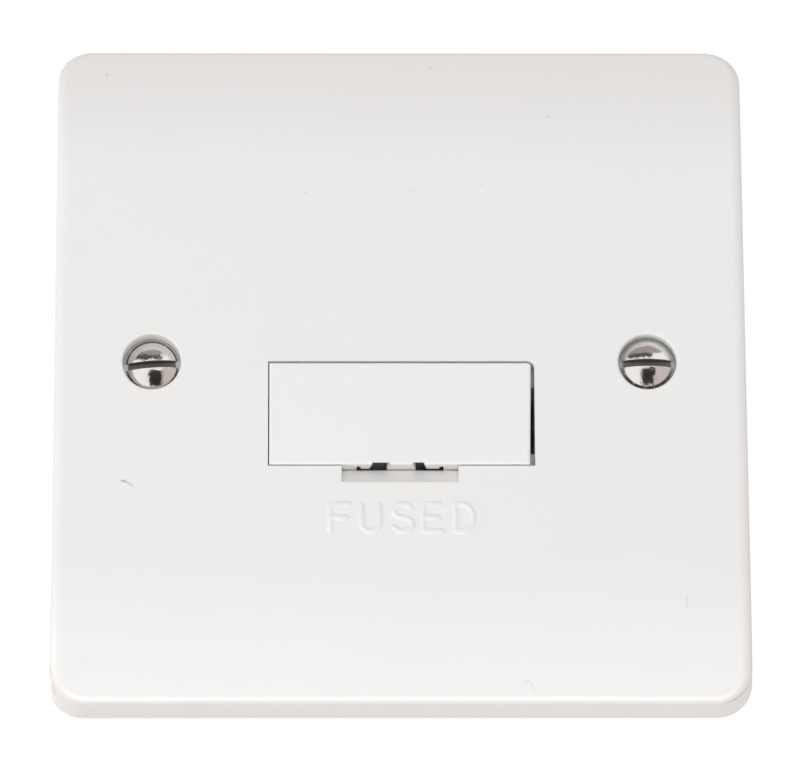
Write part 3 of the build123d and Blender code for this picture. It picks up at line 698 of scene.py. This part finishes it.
zinc, shader, place = new_finish("zinc_plate", Metallic=1.0)
crystals = place.node("ShaderNodeTexVoronoi", None, {"Vector": place, "Scale": 1 / (0.5 * mm)}, "Color")
spangle = crystals.axis("X")
dulled = place.noise(1.2 * mm, detail=4, roughness=0.6).step(0.4, 0.7)
(dulled * 0.5).blend(spangle.blend(zinc_deep, zinc_pale), zinc_dull).into(shader, "Base Color")
(0.28 + 0.12 * spangle + 0.16 * dulled).into(shader, "Roughness")
dulled.bump(0.015 * mm, strength=0.4).into(shader, "Normal")
housing_screws.data.materials.append(zinc)
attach(housing_screws, "unit")
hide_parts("housing_screws")

# Fixing screws: M3.5 raised countersunk screws, bright nickel plate on steel, with a sawn driver slot.
# They pass through the plate into the wall box; the right one isn't driven quite as deep as the left.
fixing_rim, fixing_dome, fixing_dome_steps = 3.2 * mm, 0.8 * mm, 14
fixing_point, fixing_point_length = 0.9 * mm, 0.5 * mm
fixing_shank, fixing_core, fixing_crest, fixing_pitch = 1.55 * mm, 1.36 * mm, 1.75 * mm, 0.6 * mm
fixing_thread_start, fixing_thread_end = 0.35 * mm, 0.3 * mm
fixing_slot_width, fixing_slot_depth, fixing_slot_reach = 0.9 * mm, 1.1 * mm, 8 * mm
# Slot colours: painted shade inside the driver slots, together with packed dirt.
dirt_and_shade_deep, dirt_and_shade_pale = (0.1, 0.098, 0.09), (0.3, 0.29, 0.27)
nickel_deep, nickel_pale, driver_brown = (0.8, 0.77, 0.73), (0.86, 0.84, 0.81), (0.5, 0.44, 0.37)
# Painted shade for the ring at the rim of each head, darkest at the bottom.
ring_painted_shadow = (0.045, 0.05, 0.045)

# The slot's faces take this finish: painted shade inside the slot, together with packed dirt.
slot_dirt_and_painted_shade, shader, place = new_finish("slot_dirt_and_painted_shade", Metallic=0.8)
dirt_and_shade_mottle = place.noise(0.4 * mm, detail=4, roughness=0.6)
dirt_and_shade_mottle.blend(dirt_and_shade_deep, dirt_and_shade_pale).into(shader, "Base Color")
(0.4 + 0.2 * dirt_and_shade_mottle).into(shader, "Roughness")
dirt_and_shade_mottle.bump(0.04 * mm, strength=0.5).into(shader, "Normal")


def bright_nickel(name, x, ring_radius, ring_painted_shade_tone):
    """Uneven nickel plate, marked by a driver, with a ring of painted shade around the rim, darkest at the
    bottom.
    """
    finish, shader, place = new_finish(name, Metallic=1.0)
    hazy = place.noise(1.5 * mm, detail=4, roughness=0.6)
    driver = place.noise(0.25 * mm, detail=3).step(0.6, 0.75) * worn_edges(place, 0.25 * mm)
    # Painted shade: a ring at the rim for the gap between the head and its well, darker towards the bottom.
    outside = face_distance(place, x, 0).step(ring_radius, ring_radius + 0.1 * mm)
    ring = outside * place.noise(0.6 * mm, detail=3).step(0.1, 0.5)
    marked = (driver * 0.6).blend(hazy.blend(nickel_deep, nickel_pale), driver_brown)
    grime_and_painted_shade = place.axis("Z").step(-2.4 * mm, 0.4 * mm).blend(ring_painted_shadow, ring_painted_shade_tone)
    (ring * 0.92).blend(marked, grime_and_painted_shade).into(shader, "Base Color")
    (0.1 + 0.06 * hazy + 0.2 * driver + 0.25 * ring).into(shader, "Roughness")
    ripples = place.noise(0.9 * mm)
    (ripples + 0.3 * hazy).bump(0.045 * mm, strength=0.8).into(shader, "Normal")
    return finish


def fixing_screw(node, dome_radius, land_rise, turn, nickel):
    """One fixing screw: point, thread, shank, cone, rim and dome with its slot, moved to its place."""
    low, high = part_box(node)
    top, tip = low.y, high.y
    rim = top + fixing_dome
    rise = rim - land_rise - top
    sphere = (dome_radius**2 + rise**2) / (2 * rise)
    rings = [
        (fixing_point, tip),
        (fixing_core, tip - fixing_point_length),
        (fixing_core, 0),
        (fixing_shank, 0),
        (fixing_shank, rim + fixing_rim - fixing_shank),
        (fixing_rim, rim),
    ]
    for step in range(fixing_dome_steps):
        angle = math.asin(dome_radius / sphere) * (1 - step / fixing_dome_steps)
        rings.append((sphere * math.sin(angle), top + sphere * (1 - math.cos(angle))))
    rings.append((0, top))
    screw = turned(node + "_turned", rings, sides=96)
    screw.data.materials.append(nickel)
    cut_slot(screw, fixing_slot_width, top - mm, top + fixing_slot_depth, fixing_slot_reach, turn, slot_dirt_and_painted_shade)
    break_edges(screw, 0.05 * mm, angle=25)
    ends = (fixing_thread_start, tip - fixing_thread_end)
    thread = rolled_thread(fixing_core - thread_sunk, fixing_crest, fixing_pitch, *ends, sides=32)
    thread.data.materials.append(nickel)
    made = join(node + "_turned", [screw, thread])
    made.location = ((low.x + high.x) / 2, 0, (low.z + high.z) / 2)
    bpy.ops.object.transform_apply()
    return made


# Each screw's ring of painted shade starts at its ring radius and takes its own tone at the top.
for node, dome_radius, land_rise, turn, ring_radius, ring_painted_shade_tone in (
    ("mounting_screw_left", 3.1 * mm, 0.06 * mm, -math.radians(4), 2.92 * mm, (0.08, 0.09, 0.08)),
    ("mounting_screw_right", 2.85 * mm, 0.15 * mm, 0.0, 2.82 * mm, (0.5, 0.54, 0.51)),
):
    low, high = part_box(node)
    nickel = bright_nickel(node + "_nickel", (low.x + high.x) / 2, ring_radius, ring_painted_shade_tone)
    screw = fixing_screw(node, dome_radius, land_rise, turn, nickel)
    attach(screw, "unit")
    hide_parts(node)

# Studio: a pale floor well below the unit and a white surround, with soft lamps in front, below, at the left
# and behind. A strip lamp and curved cards show only in reflections, as the room that the screws mirror.
ambient, backdrop = (0.663, 0.597, 0.577), (1, 1, 1)
floor_side, floor_z = 4, -1.35
paper_deep, paper_pale = (0.86, 0.86, 0.855), (0.9, 0.9, 0.895)
card_distance = 1.5
aim = Vector((0.00009, -0.004, -0.00113))
camera_distance, camera_azimuth, camera_elevation, camera_roll = 0.8424, -0.745, -20.1, -0.247

world = bpy.data.worlds.new("studio")
bpy.context.scene.world = world
world.use_nodes = True
surround = Field(world.node_tree, None)
seen = surround.node("ShaderNodeLightPath", None, None, "Is Camera Ray")
for ray in ("Is Glossy Ray", "Is Transmission Ray"):
    seen = seen.math("MAXIMUM", seen, surround.node("ShaderNodeLightPath", None, None, ray))
seen.blend(ambient, backdrop).into(world.node_tree.nodes["Background"], "Color")

bpy.ops.object.select_all(action="DESELECT")
bpy.ops.mesh.primitive_plane_add(size=floor_side, location=(0, 0, floor_z))
floor = bpy.context.object
floor.name = "studio_floor"
paper, shader, place = new_finish("floor_paper", Roughness=0.9)
place.noise(0.2, detail=3).blend(paper_deep, paper_pale).into(shader, "Base Color")
floor.data.materials.append(paper)
floor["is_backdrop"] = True


def outward(azimuth, elevation):
    """Direction from the unit: azimuth to the right of straight ahead, elevation upwards, in degrees."""
    a, e = math.radians(azimuth), math.radians(elevation)
    return Vector((math.sin(a) * math.cos(e), -math.cos(a) * math.cos(e), math.sin(e)))


def softbox(name, azimuth, elevation, distance, width, height, level, tint=(1, 1, 1)):
    """A soft lamp that faces the unit. Level is what it gives to a surface square to it, 1 being white."""
    bpy.ops.object.select_all(action="DESELECT")
    bpy.ops.object.light_add(type="AREA", location=aim + distance * outward(azimuth, elevation))
    lamp = bpy.context.object
    lamp.name = name
    lamp.rotation_euler = (-outward(azimuth, elevation)).to_track_quat("-Z", "Z").to_euler()
    lamp.data.shape = "RECTANGLE"
    lamp.data.size, lamp.data.size_y = width, height
    lamp.data.energy = level * math.pi**2 * distance**2
    lamp.data.color = tint
    lamp.visible_camera = False
    return lamp


front_tint, bounce_tint, side_tint = (0.86, 1.035, 1.085), (1.0, 0.97, 0.94), (0.99, 1.0, 1.0)
front = softbox("front", 2, -15, distance=1.3, width=0.8, height=0.6, level=0.33, tint=front_tint)
bounce = softbox("bounce", 0, -80, distance=0.8, width=0.8, height=0.6, level=0.142, tint=bounce_tint)
front.visible_glossy = bounce.visible_glossy = False
softbox("side", -68, -8, distance=0.8, width=0.3, height=0.6, level=0.27, tint=side_tint)
strip = softbox("strip", -4, -66, distance=0.6, width=0.7, height=0.16, level=0.8)
strip.visible_diffuse = False
softbox("back", -150, 25, distance=1.2, width=0.8, height=0.8, level=0.35)


def card(name, azimuths, elevations, shade):
    """A curved card around the unit that lights nothing and shows only in reflections."""
    bpy.ops.object.select_all(action="DESELECT")
    bpy.ops.mesh.primitive_grid_add(x_subdivisions=12, y_subdivisions=8, size=2)
    sheet = bpy.context.object
    sheet.name = name
    for corner in sheet.data.vertices:
        across, up = (corner.co.x + 1) / 2, (corner.co.y + 1) / 2
        azimuth = azimuths[0] + across * (azimuths[1] - azimuths[0])
        elevation = elevations[0] + up * (elevations[1] - elevations[0])
        corner.co = aim + card_distance * outward(azimuth, elevation)
    finish = bpy.data.materials.new(name)
    finish.use_nodes = True
    finish.node_tree.nodes.clear()
    glow = finish.node_tree.nodes.new("ShaderNodeEmission")
    glow.inputs["Color"].default_value = (*shade, 1)
    end = finish.node_tree.nodes.new("ShaderNodeOutputMaterial")
    finish.node_tree.links.new(glow.outputs[0], end.inputs["Surface"])
    sheet.data.materials.append(finish)
    sheet.visible_camera = sheet.visible_diffuse = sheet.visible_shadow = sheet.visible_transmission = False
    sheet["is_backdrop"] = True


card("dark_stand", azimuths=(-9, 19), elevations=(-27, 8), shade=(0.03, 0.022, 0.018))
card("grey_right", azimuths=(19, 120), elevations=(-60, 20), shade=(0.62, 0.57, 0.56))
card("dark_band", azimuths=(-43, 17), elevations=(31, 42), shade=(0.07, 0.06, 0.055))
card("grey_overhead", azimuths=(-120, 120), elevations=(42, 60), shade=(0.38, 0.34, 0.335))
card("pale_overhead", azimuths=(-120, 120), elevations=(60, 88), shade=(0.62, 0.58, 0.57))

camera = bpy.data.objects.new("camera", bpy.data.cameras.new("camera"))
bpy.context.scene.collection.objects.link(camera)
camera.data.sensor_width = 36
camera.data.lens = 310.1
camera.location = aim + camera_distance * outward(camera_azimuth, camera_elevation)
level_view = (aim - camera.location).to_track_quat("-Z", "Y")
camera.rotation_euler = (level_view @ Quaternion((0, 0, 1), math.radians(camera_roll))).to_euler()
bpy.context.scene.camera = camera
bpy.context.scene.view_settings.view_transform = "Standard"

visual_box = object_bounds()
boxes = {"cad": cad_box, "visual": visual_box}
{name: [list(corner) for corner in box] for name, box in boxes.items()}
